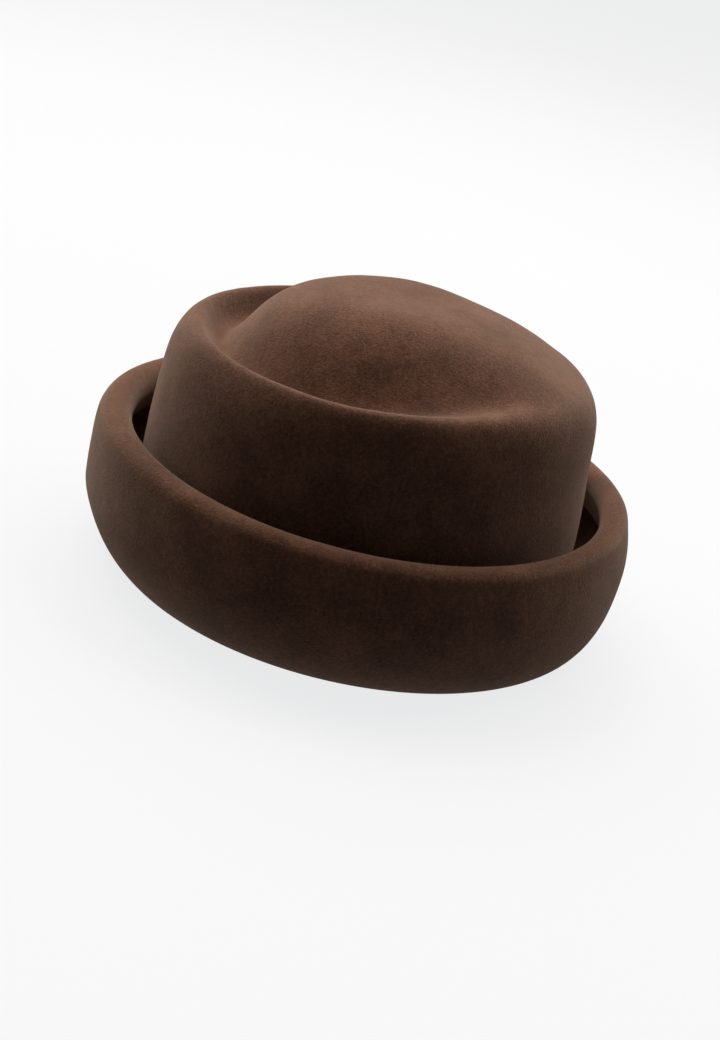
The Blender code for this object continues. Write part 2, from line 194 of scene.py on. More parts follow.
def ring_faces(rows, columns, first=0, closed=True):
    """Quads of a grid stored row by row; closed joins the last column to the first."""
    faces = []
    for row in range(rows - 1):
        for column in range(columns if closed else columns - 1):
            after = (column + 1) % columns
            low, high = first + row * columns, first + (row + 1) * columns
            faces.append((low + column, low + after, high + after, high + column))
    return faces


def section_faces(sections, closed=True):
    """Quads of closed sections side by side; closed joins the last column to the first."""
    rows, columns = sections.shape[:2]
    return [tuple(index % (rows * columns) for index in face)
            for face in ring_faces(rows + 1, columns, closed=closed)]


def cap_points(*skins):
    """Points of a cap's outside and inside, each followed by its peak."""
    return np.concatenate([part for skin in skins for part in
                           (skin.reshape(-1, 3), [(0, -PEAK_FORWARD, skin[-1, :, 2].mean())])])


def cap_faces(outer_rows, inner_rows, columns):
    """Faces of a cap with thickness: its outside and peak come first, then its inside."""
    peak = outer_rows * columns
    last = peak + 1 + inner_rows * columns
    faces = ring_faces(outer_rows, columns)
    faces += [tuple(reversed(face)) for face in ring_faces(inner_rows, columns, peak + 1)]
    for column in range(columns):
        after = (column + 1) % columns
        faces += [(peak - columns + column, peak - columns + after, peak),
                  (last - columns + after, last - columns + column, last),
                  (after, column, peak + 1 + column, peak + 1 + after)]
    return faces


def add_piece(name, points, faces, material, replaced=()):
    """Mesh piece that rides on the hat, takes a finish slot and stands for CAD nodes."""
    mesh = bpy.data.meshes.new(name)
    mesh.from_pydata([tuple(p) for p in np.asarray(points).reshape(-1, 3)], [], faces)
    mesh.materials.append(material)
    mesh.shade_smooth()
    mesh.set_sharp_from_angle(angle=SHARP_EDGE)
    item = bpy.data.objects.new(name, mesh)
    bpy.context.scene.collection.objects.link(item)
    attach(item, "root")
    if replaced:
        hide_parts(*replaced)
    return item


# ---- node helpers ----

def new_material(name):
    material = bpy.data.materials.new(name)
    material.use_nodes = True
    return material, material.node_tree, material.node_tree.nodes["Principled BSDF"]


def set_inputs(tree, node, inputs):
    """Give a node's inputs, by name or number, a value or a socket to link."""
    for name, value in inputs.items():
        if isinstance(value, bpy.types.NodeSocket):
            tree.links.new(value, node.inputs[name])
        else:
            node.inputs[name].default_value = value


def add_node(tree, kind, inputs, **settings):
    node = tree.nodes.new(kind)
    for name, value in settings.items():
        setattr(node, name, value)
    set_inputs(tree, node, inputs)
    return node


def noise_of(tree, place, size, detail=2.0, roughness=0.5, distortion=0.0):
    """Noise socket from 0 to 1 with features of the given size in metres."""
    node = add_node(tree, "ShaderNodeTexNoise",
                    {"Vector": place, "Scale": 1 / size, "Detail": detail,
                     "Roughness": roughness, "Distortion": distortion})
    return node.outputs["Fac"]


def mix_colours(tree, share, first, second, blend="MIX"):
    first, second = ((*colour, 1.0) if isinstance(colour, tuple) else colour
                     for colour in (first, second))
    node = add_node(tree, "ShaderNodeMix", {}, data_type="RGBA", blend_type=blend)
    set_inputs(tree, node, {0: share, 6: first, 7: second})
    return node.outputs[2]


def mix_values(tree, share, first, second):
    return add_node(tree, "ShaderNodeMix", {0: share, 2: first, 3: second}).outputs[0]


def calculate(tree, operation, first, second=0.0, third=0.0):
    node = add_node(tree, "ShaderNodeMath", {0: first, 1: second, 2: third},
                    operation=operation)
    return node.outputs[0]


def weighted(tree, *parts):
    """Sum of values, each times its weight."""
    total = 0.0
    for value, weight in parts:
        total = calculate(tree, "MULTIPLY_ADD", value, weight, total)
    return total


def bumped(tree, height, strength, distance):
    node = add_node(tree, "ShaderNodeBump",
                    {"Height": height, "Strength": strength, "Distance": distance})
    return node.outputs["Normal"]


def spread(tree, value, low, high, to_low=0.0, to_high=1.0):
    """Value mapped from one range to another, held inside the new one."""
    node = add_node(tree, "ShaderNodeMapRange",
                    {"Value": value, "From Min": low, "From Max": high,
                     "To Min": to_low, "To Max": to_high})
    return node.outputs["Result"]


def object_place(tree):
    return tree.nodes.new("ShaderNodeTexCoord").outputs["Object"]


# ---- materials ----

FELT_DARK = (0.056, 0.0205, 0.0105)
FELT_MIDDLE = (0.104, 0.0415, 0.0220)
FELT_LIGHT = (0.165, 0.074, 0.043)


def fibre_waves(tree, place, width, axis):
    """Curly streaks like matted fibres, about the given width, running across an axis."""
    node = add_node(tree, "ShaderNodeTexWave",
                    {"Vector": place, "Scale": TURN / 20 / (2 * width), "Distortion": 14.0,
                     "Detail": 3.0, "Detail Scale": 1.1, "Detail Roughness": 0.6},
                    bands_direction=axis)
    return node.outputs["Fac"]


def felt_material(name):
    """Short-napped wool felt: cloudy brown, curly fibres, a soft warm sheen at its edges."""
    material, tree, shader = new_material(name)
    place = object_place(tree)
    clouds = noise_of(tree, place, 0.020, 3.0, 0.55)
    tufts = noise_of(tree, place, 0.0026, 3.0, 0.62, 0.9)
    curls = noise_of(tree, place, 0.0013, 2.0, 0.6, 0.8)
    grain = noise_of(tree, place, 0.0007, 3.0, 0.65, 0.3)
    first = fibre_waves(tree, place, 0.0006, "X")
    second = fibre_waves(tree, place, 0.0007, "Z")
    fibres = weighted(tree, (first, 0.5), (second, 0.5))
    value = weighted(tree, (clouds, 0.30), (tufts, 0.20), (curls, 0.27), (fibres, 0.08),
                     (grain, 0.22))
    low = mix_colours(tree, spread(tree, value, 0.43, 0.535), FELT_DARK, FELT_MIDDLE)
    colour = mix_colours(tree, spread(tree, value, 0.535, 0.64), low, FELT_LIGHT)
    height = weighted(tree, (fibres, 0.10), (grain, 0.75), (curls, 0.35), (tufts, 0.15))
    set_inputs(tree, shader, {
        "Base Color": colour,
        "Roughness": spread(tree, grain, 0.3, 0.7, 0.90, 1.0),
        "Specular IOR Level": 0.12,
        "Sheen Weight": 0.44,
        "Sheen Roughness": 0.50,
        "Sheen Tint": (1.0, 0.77, 0.62, 1.0),
        "Normal": bumped(tree, height, 0.9, 0.0005),
    })
    return material


def weave_place(tree):
    """Length along a strip and height across its width, in metres, as two sockets."""
    node = add_node(tree, "ShaderNodeAttribute", {}, attribute_name="weave")
    parts = add_node(tree, "ShaderNodeSeparateXYZ", {"Vector": node.outputs["Vector"]})
    return node.outputs["Vector"], parts.outputs["X"], parts.outputs["Y"]


def thread_wave(tree, distance, pitch):
    """Rounded threads side by side: 0 between them, 1 on top of each."""
    turn = calculate(tree, "MULTIPLY", distance, math.pi / pitch)
    return calculate(tree, "ABSOLUTE", calculate(tree, "SINE", turn))


def woven(tree, along, across, warp, weft):
    """Plain weave: the height of the thread on top, with threads of the two pitches."""
    first, second = thread_wave(tree, along, warp), thread_wave(tree, across, weft)
    rows = calculate(tree, "MULTIPLY", calculate(tree, "DIVIDE", along, 2 * warp), TURN)
    columns = calculate(tree, "MULTIPLY", calculate(tree, "DIVIDE", across, 2 * weft), TURN)
    turns = calculate(tree, "MULTIPLY", calculate(tree, "SINE", rows),
                      calculate(tree, "SINE", columns))
    over = spread(tree, turns, -0.25, 0.25)
    return mix_values(tree, over, first, second)


def ribbon_material(name, dark, light, rib):
    """Ribbed ribbon: close silky warp threads that bend over the thick ribs across it, with painted
    shade between ribs and threads.
    """
    material, tree, shader = new_material(name)
    place, along, across = weave_place(tree)
    ribs = thread_wave(tree, along, rib)
    warp = thread_wave(tree, across, 0.00022)
    wear = noise_of(tree, place, 0.012, 3.0, 0.55)
    fuzz = noise_of(tree, place, 0.0005, 2.0, 0.6)
    # Colour: painted shade, darker between the ribs and the warp threads and lighter on their tops,
    # mixed with random wear.
    tone = weighted(tree, (ribs, 0.35), (warp, 0.35), (wear, 0.45))
    height = weighted(tree, (ribs, 0.6), (warp, 0.25), (fuzz, 0.2))
    set_inputs(tree, shader, {
        "Base Color": mix_colours(tree, spread(tree, tone, 0.2, 0.85), dark, light),
        "Roughness": spread(tree, warp, 0.0, 1.0, 0.72, 0.5),
        "Sheen Weight": 0.25,
        "Sheen Roughness": 0.4,
        "Normal": bumped(tree, height, 0.6, 0.00015),
    })
    return material


def satin_material(name, squeeze):
    """Warp-faced satin: long shining floats one way, with small slubs and soft mottling."""
    material, tree, shader = new_material(name)
    place = object_place(tree)
    stretched = add_node(tree, "ShaderNodeMapping", {"Vector": place, "Scale": squeeze})
    floats = noise_of(tree, stretched.outputs["Vector"], 0.00045, 2.0, 0.6)
    slubs = noise_of(tree, stretched.outputs["Vector"], 0.0022, 3.0, 0.6)
    clouds = noise_of(tree, place, 0.03, 3.0, 0.5)
    tone = weighted(tree, (clouds, 0.45), (slubs, 0.35), (floats, 0.2))
    height = weighted(tree, (slubs, 0.5), (floats, 1.0))
    set_inputs(tree, shader, {
        "Base Color": mix_colours(tree, spread(tree, tone, 0.32, 0.68),
                                  (0.095, 0.052, 0.032), (0.165, 0.098, 0.064)),
        "Roughness": spread(tree, slubs, 0.3, 0.7, 0.36, 0.48),
        "Specular IOR Level": 0.55,
        "Sheen Weight": 0.3,
        "Sheen Roughness": 0.3,
        "Sheen Tint": (0.9, 0.75, 0.62, 1.0),
        "Normal": bumped(tree, height, 0.22, 0.00012),
    })
    return material


def cloth_material(name, dark, light, warp, weft, border=None):
    """Plain woven cotton with visible threads, shown by painted shade between them. border is a
    label's length and width, and draws a narrow woven line inside its edges."""
    material, tree, shader = new_material(name)
    place, along, across = weave_place(tree)
    threads = woven(tree, along, across, warp, weft)
    slubs = noise_of(tree, place, 0.003, 3.0, 0.6)
    # Colour: painted shade between the threads, lighter on the thread on top, mixed with random slubs.
    tone = weighted(tree, (slubs, 0.6), (threads, 0.55))
    colour = mix_colours(tree, spread(tree, tone, 0.25, 0.95), dark, light)
    if border:
        edges = [calculate(tree, "MINIMUM", value, calculate(tree, "SUBTRACT", size, value))
                 for value, size in ((along, border[0]), (across, border[1]))]
        inset = calculate(tree, "MINIMUM", *edges)
        off_line = calculate(tree, "ABSOLUTE", calculate(tree, "SUBTRACT", inset, 0.0026))
        line = spread(tree, off_line, 0.00025, 0.00045, 1.0, 0.0)
        colour = mix_colours(tree, line, colour, (0.16, 0.075, 0.04))
    set_inputs(tree, shader, {"Base Color": colour, "Roughness": 0.85, "Sheen Weight": 0.15,
                              "Normal": bumped(tree, threads, 0.5, 0.00012)})
    return material


def thread_material(name, dark, light):
    """Twisted sewing thread, with a painted highlight where its plies come up."""
    material, tree, shader = new_material(name)
    place = object_place(tree)
    twist = fibre_waves(tree, place, 0.00016, "DIAGONAL")
    shade = noise_of(tree, place, 0.004, 2.0)
    # Colour: painted highlight along the twist of the plies, mixed with random tone.
    tone = weighted(tree, (shade, 0.5), (twist, 0.5))
    set_inputs(tree, shader, {"Base Color": mix_colours(tree, tone, dark, light),
                              "Roughness": 0.6, "Sheen Weight": 0.2,
                              "Normal": bumped(tree, twist, 0.5, 0.00008)})
    return material


def metal_material(name, dark, light, smooth):
    """Drawn or pressed metal with faint scratches and a patchy dulled skin."""
    material, tree, shader = new_material(name)
    place = object_place(tree)
    patches = noise_of(tree, place, 0.006, 4.0, 0.65)
    scratches = noise_of(tree, place, 0.0006, 3.0, 0.7, 0.8)
    set_inputs(tree, shader, {
        "Base Color": mix_colours(tree, spread(tree, patches, 0.35, 0.65), dark, light),
        "Metallic": 1.0,
        "Roughness": spread(tree, patches, 0.3, 0.7, smooth + 0.2, smooth),
        "Normal": bumped(tree, scratches, 0.25, 0.00005),
    })
    return material


def floor_material():
    """Pale studio paper that glows evenly, so that the shadow on it stays soft."""
    material, tree, shader = new_material("floor_paper")
    place = object_place(tree)
    tone = spread(tree, noise_of(tree, place, 0.9, 2.0), 0.3, 0.7)
    set_inputs(tree, shader, {
        "Base Color": mix_colours(tree, tone, (0.118, 0.12, 0.122), (0.124, 0.126, 0.128)),
        "Roughness": 0.9,
        "Specular IOR Level": 0.0,
        "Emission Color": (0.985, 0.99, 1.0, 1.0),
        "Emission Strength": 0.81,
    })
    return material


def backdrop_material():
    material, tree, shader = new_material("backdrop_paper")
    tone = spread(tree, noise_of(tree, object_place(tree), 15.0, 2.0), 0.3, 0.7, 0.92, 0.95)
    set_inputs(tree, shader, {"Base Color": (0.0, 0.0, 0.0, 1.0), "Roughness": 1.0,
                              "Specular IOR Level": 0.0,
                              "Emission Color": (0.985, 0.99, 1.0, 1.0),
                              "Emission Strength": tone})
    return material


# ---- felt ----

def spline(points, place):
    """Points of a uniform cubic B-spline; the last control point is the peak on the axis."""
    before_first = tuple(2 * a - b for a, b in zip(points[0], points[1]))
    after_last = (-points[-2][0], points[-2][1])
    extended = np.array([before_first, *points, after_last])
    part = np.minimum(place.astype(int), len(points) - 2)
    t = place - part
    shares = ((1 - t) ** 3 / 6, (3 * t ** 3 - 6 * t ** 2 + 4) / 6,
              (-3 * t ** 3 + 3 * t ** 2 + 3 * t + 1) / 6, t ** 3 / 6)
    return sum(share[:, None] * extended[part + k] for k, share in enumerate(shares))


def crown_grid(places, angles):
    """Points on the crown's outside, one row for each place from the base up to the peak."""
    from_back = np.abs((angles + math.pi) % TURN - math.pi)
    front = smooth_step((from_back - FRONT_STARTS) / (FRONT_FULL - FRONT_STARTS))
    back = (1 - smooth_step(from_back / BACK_ENDS)) * (1 - front)
    mixed = sum(spline(outline, places)[:, None] * share[None, :, None]
                for outline, share in ((OUTLINE_BACK, back), (OUTLINE_SIDE, 1 - front - back),
                                       (OUTLINE_FRONT, front)))
    size, height = mixed[..., 0], mixed[..., 1]
    return np.stack([size * HALF_WIDTH * np.sin(angles),
                     size * HALF_LENGTH * np.cos(angles) - PEAK_FORWARD * (1 - size ** 2),
                     height], axis=-1)


def hand_shaped(grid, normals, seed):
    """Grid with the slight unevenness of felt that was blocked by hand."""
    moved = 0.00030 * waves(grid, 0.034, seed) + 0.00010 * waves(grid, 0.009, seed + 1)
    return grid + normals * moved[..., None]


def make_crown(material):
    columns, last = 400, len(OUTLINE_BACK) - 1
    outer_places = np.append(np.linspace(0, last - 0.1, 121), last - 0.03)
    angles = ring_angles(columns)
    bare = crown_grid(outer_places, angles)
    normals = normals_of(bare)
    outer = hand_shaped(bare, normals, 1)
    inner = (bare - normals * FELT)[::2]
    inner[0] = oval(angles, -FELT, CROWN_BASE)
    add_piece("felt_crown", cap_points(outer, inner), cap_faces(len(outer), len(inner), columns),
              material, ["crown"])


def brim_skin(angle, depth):
    """Offsets and heights of one face of the brim's felt, at a depth in it, from the flat
    ring out, up and round the rim to the turned-in edge. Angle is a row of columns."""
    widest = by_direction(angle, *BRIM_WIDEST)
    power = by_direction(angle, *BELLY_POWER)
    rim = by_direction(angle, *RIM_HEIGHT)
    turn = np.linspace(0, math.pi / 2, 30)[1:, None]
    offset = BRIM_FLAT + (BRIM_REACH - depth - BRIM_FLAT) * np.sin(turn) ** (2 / power)
    height = depth + (widest - depth) * (1 - np.maximum(np.cos(turn), 0) ** (2 / power))
    skin = [(offset, height)]
    lean = by_direction(angle, *RIM_LEAN)
    roll = by_direction(angle, *ROLL_RADIUS)
    centre, level = BRIM_REACH - lean - roll, rim - roll
    radius, reach = roll - depth, BRIM_REACH - depth
    joined = (centre + radius * math.cos(ROLL_START), level + radius * math.sin(ROLL_START))
    below = (reach - joined[0]) / math.tan(ROLL_START)
    share = np.linspace(0, 1, 14)[1:-1, None]
    skin.append(((1 - share ** 2) * reach + share ** 2 * joined[0],
                 (1 - share) ** 2 * widest + 2 * share * (1 - share) * (joined[1] - below)
                 + share ** 2 * joined[1]))
    turn = np.linspace(ROLL_START, math.pi + TURN_PAST, 22)[:, None]
    skin.append((centre + radius * np.cos(turn), level + radius * np.sin(turn)))
    rolled_to = [part[-1] for part in skin[-1]]
    share = np.linspace(0, 1, 5)[1:, None]
    skin.append((rolled_to[0] + TURN_IN * math.sin(TURN_PAST) * share,
                 rolled_to[1] - TURN_IN * math.cos(TURN_PAST) * share))
    return [np.concatenate([part[k] for part in skin]) for k in (0, 1)]


def make_brim(material):
    angles = ring_angles(480)
    row = angles[None, :]
    inner, outer = -(2 * FELT + GAP), -(FELT + GAP)
    flat = np.ones_like(row)
    half = FELT / 2

    def line(*stops):
        return [(offset * flat, height * flat) for offset, height in stops]

    collar_top = [(-(1.5 * FELT + GAP) + half * math.cos(turn),
                   COLLAR_TOP - half + half * math.sin(turn))
                  for turn in np.linspace(0, math.pi, 7)]
    foot = [(inner, height) for height in (0.008, 0.005, 0.0025)]
    foot += [(inner + BREAK_RADIUS * (1 - math.cos(turn)), BREAK_RADIUS * (1 - math.sin(turn)))
             for turn in np.linspace(0, math.pi / 2, 5)]
    foot += [(offset, 0.0) for offset in np.linspace(inner + 0.002, BRIM_FLAT, 6)]
    outside = brim_skin(row, 0.0)
    inside = brim_skin(row, FELT)
    ends = [(outside[k][-1] + inside[k][-1]) / 2 for k in (0, 1)]
    cut = [((ends[0] - half * math.cos(turn + TURN_PAST))[None],
            (ends[1] - half * math.sin(turn + TURN_PAST))[None])
           for turn in np.linspace(0, math.pi, 7)[1:-1]]
    back = [(offset, FELT) for offset in np.linspace(BRIM_FLAT, outer, 7)]
    parts = (line(*collar_top, *foot) + [(outside[0], outside[1])] + cut
             + [(inside[0][::-1], inside[1][::-1])] + line(*back))
    offset = np.concatenate([part[0] for part in parts])
    height = np.concatenate([part[1] for part in parts])
    sections = oval(row, offset, height)
    lift = smooth_step((sections[..., 2] - 0.004) / 0.02)
    moved = 0.0004 * waves(sections, 0.045, 4) + 0.0001 * waves(sections, 0.010, 5)
    sections = sections - inwards(row) * (moved * lift)[..., None]
    add_piece("felt_brim", sections, section_faces(sections), material, ["brim"])


# ---- ribbon, satin, wire and sewing ----

def strip_section(outside, thickness, low, high, rows):
    """Offsets and heights of a flat strip's closed section, with its long edges rounded."""
    radius = thickness / 2
    face = np.linspace(low + radius, high - radius, rows)
    turn = np.linspace(0, math.pi, 7)[1:-1]
    middle = outside - radius
    offset = np.concatenate([np.full(rows, outside), middle + radius * np.cos(turn),
                             np.full(rows, outside - thickness), middle - radius * np.cos(turn)])
    height = np.concatenate([face, high - radius + radius * np.sin(turn),
                             face[::-1], low + radius - radius * np.sin(turn)])
    return offset[:, None], height[:, None]


def run_along(angles, offset):
    """Distance round the oval at an offset, from the first angle to each angle."""
    fine = np.linspace(angles[0], angles[-1], 4000)
    line = oval(fine, offset, 0.0)
    steps = np.linalg.norm(np.diff(line, axis=0), axis=1)
    return np.interp(angles, fine, np.concatenate([[0.0], np.cumsum(steps)]))


def band_lean(angles, height):
    """How far the band's free top edge leans inwards, the same for all that is sewn to it."""
    drift = waves(oval(angles, 0.0, 0.0), 0.05, 7)
    rise = np.clip((height - BAND_LOW) / (BAND_HIGH - BAND_LOW), 0.0, 1.3)
    return (0.0005 + 0.0005 * drift) * rise ** 2


def over_lap(angles):
    """Share, from 0 to 1, of BAND_STEP that the band's last end has climbed onto its first."""
    return smooth_step((angles - (TURN - BAND_LAP)) / LAP_RISE + 1)


def add_strip(name, sections, run, material, replaced=(), closed=False):
    """Strip with a closed section at each column, capped at its ends unless it is a ring.
    Its length and width go in the attribute weave, for the material's threads."""
    rows, columns = sections.shape[:2]
    faces = section_faces(sections, closed)
    if not closed:
        faces.append(tuple(row * columns for row in range(rows)))
        faces.append(tuple(row * columns + columns - 1 for row in range(rows - 1, -1, -1)))
    item = add_piece(name, sections, faces, material, replaced)
    width = sections[..., 2] - sections[..., 2].min()
    weave = np.stack(np.broadcast_arrays(run[None, :], width, 0.0), axis=-1)
    layer = item.data.attributes.new("weave", "FLOAT_VECTOR", "POINT")
    layer.data.foreach_set("vector", weave.astype(np.float32).ravel())
    return item


def make_stay_tape(material):
    """Cotton tape sewn round the headline, between the felt and the sweatband."""
    low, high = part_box("headline_tape")
    angles = ring_angles(360)
    offset, height = strip_section(high.x - HALF_WIDTH, TAPE, low.z, high.z, 8)
    run = run_along(np.append(angles, TURN), high.x - HALF_WIDTH)
    tape = add_strip("stay_tape", oval(angles[None, :], offset, height), run[:-1], material,
                     ["headline_tape"], closed=True)


def make_sweatband(material):
    """Ribbed ribbon round the head opening. Its last end lies over its first at the back."""
    ribs, per_rib = 452, 4
    angles = np.linspace(-BAND_LAP, TURN + BAND_LAP, ribs * per_rib + 1)
    row = angles[None, :]
    offset, height = strip_section(BAND_OUTSIDE, BAND, BAND_LOW, BAND_HIGH, 9)
    rib = np.cos(TURN * np.arange(len(angles)) / per_rib)[None, :]
    near_edge = (smooth_step((height - BAND_HIGH + PICOT) / PICOT)
                 - smooth_step((BAND_LOW + PICOT - height) / PICOT))
    offset = (offset - over_lap(row) * BAND_STEP - RIB_DEPTH * (1 + rib) / 2
              - band_lean(row, height))
    height = height + near_edge * PICOT * (rib - 1) / 4
    run = run_along(angles, BAND_OUTSIDE)
    band = add_strip("ribbon_sweatband", oval(row, offset, height), run, material,
                     ["sweatband"])


def add_stitches(name, starts, ends, inward, material, slot, radius=0.0002):
    """Row of short threads, each arched from one needle hole to the next."""
    share = np.linspace(0, 1, 7)
    arch = np.sin(math.pi * share)
    thick = radius * (0.35 + 0.65 * np.sqrt(arch))
    along = ends - starts
    side = np.cross(along, inward)
    side /= np.linalg.norm(side, axis=1, keepdims=True)
    middle = (starts[:, None] + along[:, None] * share[:, None]
              + inward[:, None] * (radius * (1.6 * arch - 0.6))[:, None])
    corners = 6
    turn = np.arange(corners) * TURN / corners
    round_it = (inward[:, None, None] * np.cos(turn)[:, None]
                + side[:, None, None] * np.sin(turn)[:, None])
    points = middle[:, :, None] + round_it * thick[:, None, None]
    faces = []
    for stitch in range(len(starts)):
        first = stitch * len(share) * corners
        for ring in range(len(share) - 1):
            here, there = first + ring * corners, first + (ring + 1) * corners
            faces += [(here + k, here + (k + 1) % corners, there + (k + 1) % corners, there + k)
                      for k in range(corners)]
        last = first + (len(share) - 1) * corners
        faces.append(tuple(range(first + corners - 1, first - 1, -1)))
        faces.append(tuple(range(last, last + corners)))
    add_piece(name, points, faces, material)


def level_stitches(angles, length, offset, height):
    """Starts, ends and inward directions of stitches that run round the hat."""
    half = length / 2 / HALF_LENGTH
    first = oval(angles - half, offset, height)
    return first, oval(angles + half, offset, height), inwards(angles)


def make_stitching(material, pale):
    """The visible threads of the band, the headline and the labels."""
    face = BAND_OUTSIDE - BAND - RIB_DEPTH
    angles = ring_angles(96)
    lap = np.where(angles < BAND_LAP, 1, over_lap(angles))
    add_stitches("sweatband_stitches",
                 *level_stitches(angles, 0.0032, face - lap * BAND_STEP, BAND_LOW + 0.0014),
                 material, "petersham")
    heights = np.arange(BAND_LOW + 0.003, BAND_HIGH - 0.002, 0.0031)
    end = np.full(len(heights), LAP_SEAM)
    lean = band_lean(end, heights)
    low = oval(end, face - BAND_STEP - lean, heights)
    high = oval(end, face - BAND_STEP - lean, heights + 0.0017)
    add_stitches("sweatband_end_stitches", low, high, inwards(end), material, "petersham")
    add_stitches("headline_stitches",
                 *level_stitches(ring_angles(72), 0.0024, 0.0, 0.0075),
                 material, "crown_felt")
    for name, node, start, stop in LABELS:
        low, high = (corner.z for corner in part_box(node))
        heights = np.arange(low + 0.0012, min(high, BAND_HIGH) - 0.0016, 0.0021)
        sides = np.repeat([start + 0.014, stop - 0.014], len(heights))
        heights = np.tile(heights, 2)
        offset = LABEL_FACE - LABEL - band_lean(sides, heights)
        add_stitches(f"{name}_stitches", oval(sides, offset, heights),
                     oval(sides, offset, heights + 0.0012), inwards(sides), pale,
                     f"{node}_cloth", 0.00013)


def make_labels(*materials):
    """Two blank woven labels sewn to the band, each on the side where the CAD has it."""
    for material, (name, node, start, stop) in zip(materials, LABELS):
        low, high = (corner.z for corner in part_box(node))
        angles = np.linspace(start, stop, 97)
        row = angles[None, :]
        offset, height = strip_section(LABEL_FACE, LABEL, low, high, 14)
        run = run_along(angles, LABEL_FACE)
        folded = 1 - smooth_step(np.minimum(run, run[-1] - run) / 0.0009 - 2.2)
        buckle = LABEL_BUCKLE * waves(oval(row, 0.0, 0.0) + 0 * height[..., None], 0.006, 9)
        inner_face = offset < LABEL_FACE - 0.6 * LABEL
        offset = (offset - band_lean(row, height) - inner_face * folded[None, :] * LABEL_FOLD
                  - np.abs(buckle))
        label = add_strip(f"blank_{name}", oval(row, offset, height), run, material,
                          [node])


def lining_path(angle):
    """Offsets and heights up the side lining, from behind the band to the seam at its tip."""
    low, high = LINING_HEIGHTS
    straight = np.linspace(low, high, LINING_ROWS)[:, None]
    wall = -WALL_TAPER * HALF_WIDTH * (straight / WALL_TOP) ** 1.5 - FELT - LINING_CLEARANCE
    across = np.hypot(HALF_WIDTH * np.sin(angle), HALF_LENGTH * np.cos(angle))[None, :]
    seam = -(1 - LINING_SHOULDER[0]) * across
    turn = np.linspace(0, 1, 9)[1:, None]
    bend = np.sin(turn * math.pi / 2)
    offset = wall[-1] + (seam - wall[-1]) * (1 - np.cos(turn * math.pi / 2))
    height = high + (LINING_SHOULDER[1] - high) * bend
    return (np.concatenate([wall + 0 * across, offset]),
            np.concatenate([straight, height]) + 0 * across)


def gathers(run, length, pitch, wander):
    """Folds from 0 to 1 high, about a pitch apart, a whole number of them round the hat."""
    return 0.5 + 0.5 * np.sin(TURN * run * round(length / pitch) / length + wander)


def make_side_lining(material):
    """Satin wall of the lining, gathered in soft upright folds, with a seam at the back."""
    columns = 720
    angles = ring_angles(columns)
    offset, height = lining_path(angles)
    low, high = LINING_HEIGHTS
    run = run_along(np.append(angles, TURN), 0.0)
    length, run = run[-1], run[:-1]
    places = oval(angles[None, :], 0.0, height * 0.35)
    wander = 2.2 * waves(places, 0.045, 11)
    fold = gathers(run, length, 0.013, wander)
    crease = gathers(run, length, 0.0052, 1.7 * wander)
    up = (height - low) / (high - low)
    slack = 0.0003 + 0.0011 * np.clip(up - 0.25, 0, 1) ** 1.3 + 0.0004 * (1 - up).clip(0, 1) ** 2
    free = 1 - smooth_step((up - 1.0) / 0.09)
    back = np.minimum(run, length - run)
    seam = 0.0006 * np.exp(-(back / 0.0012) ** 2)
    inward = slack * (0.75 * fold ** 1.4 + 0.25 * crease) * (0.25 + 0.75 * free) + seam
    outer = oval(angles[None, :], offset - inward, height)
    inner = oval(angles[None, :], offset - inward - LINING, height - 0.6 * LINING * (up > 1))
    sections = np.concatenate([outer, inner[::-1]])
    side = add_strip("satin_side_lining", sections, run, material,
                     ["lining_side"], closed=True)


def make_tip_lining(material):
    """Oval satin cap that closes the lining, puckered where it is sewn to the side."""
    columns, last = 480, len(TIP_OUTLINE) - 1
    angles = ring_angles(columns)
    places = np.linspace(0, last - 0.06, 58)
    profile = spline(TIP_OUTLINE, places)
    size, height = profile[:, :1], profile[:, 1:] + SEAM_GAP
    rim = size / size[0]
    run = run_along(np.append(angles, TURN), 0.0)
    length, run = run[-1], run[:-1]
    wander = 2.0 * waves(oval(angles[None, :], 0.0, 0.0), 0.03, 13)
    pucker = gathers(run, length, 0.0085, wander)
    near = smooth_step((rim - 0.78) / 0.2) * (1 - smooth_step((rim - 0.985) / 0.015))
    x, y = size * HALF_WIDTH * np.sin(angles), size * HALF_LENGTH * np.cos(angles)
    outer = np.stack(np.broadcast_arrays(x, y - PEAK_FORWARD * (1 - rim ** 2), height), axis=-1)
    sag = 0.0008 * (waves(outer, 0.04, 14) + 1) * (1 - rim ** 4) + 0.0008 * pucker * near
    outer[..., 2] -= sag
    points = cap_points(outer, outer - [0, 0, LINING])
    tip = add_piece("satin_tip_lining", points, cap_faces(len(outer), len(outer), columns),
                    material, ["lining_tip"])


def seam_stitches(material):
    """Whip stitches over the seam between the lining's side and its tip."""
    angles = ring_angles(150)
    offset, height = lining_path(angles)
    side = oval(angles, offset[-2] - 0.0006, height[-2] - 0.0008)
    size, level = TIP_OUTLINE[0]
    slanted = angles + 0.012
    tip = np.stack([size * HALF_WIDTH * np.sin(slanted), size * HALF_LENGTH * np.cos(slanted),
                    np.full(len(angles), level - 0.0006)], axis=-1)
    add_stitches("lining_seam_stitches", side, tip, 0.7 * inwards(angles) - [0, 0, 0.7],
                 material, "lining_satin")


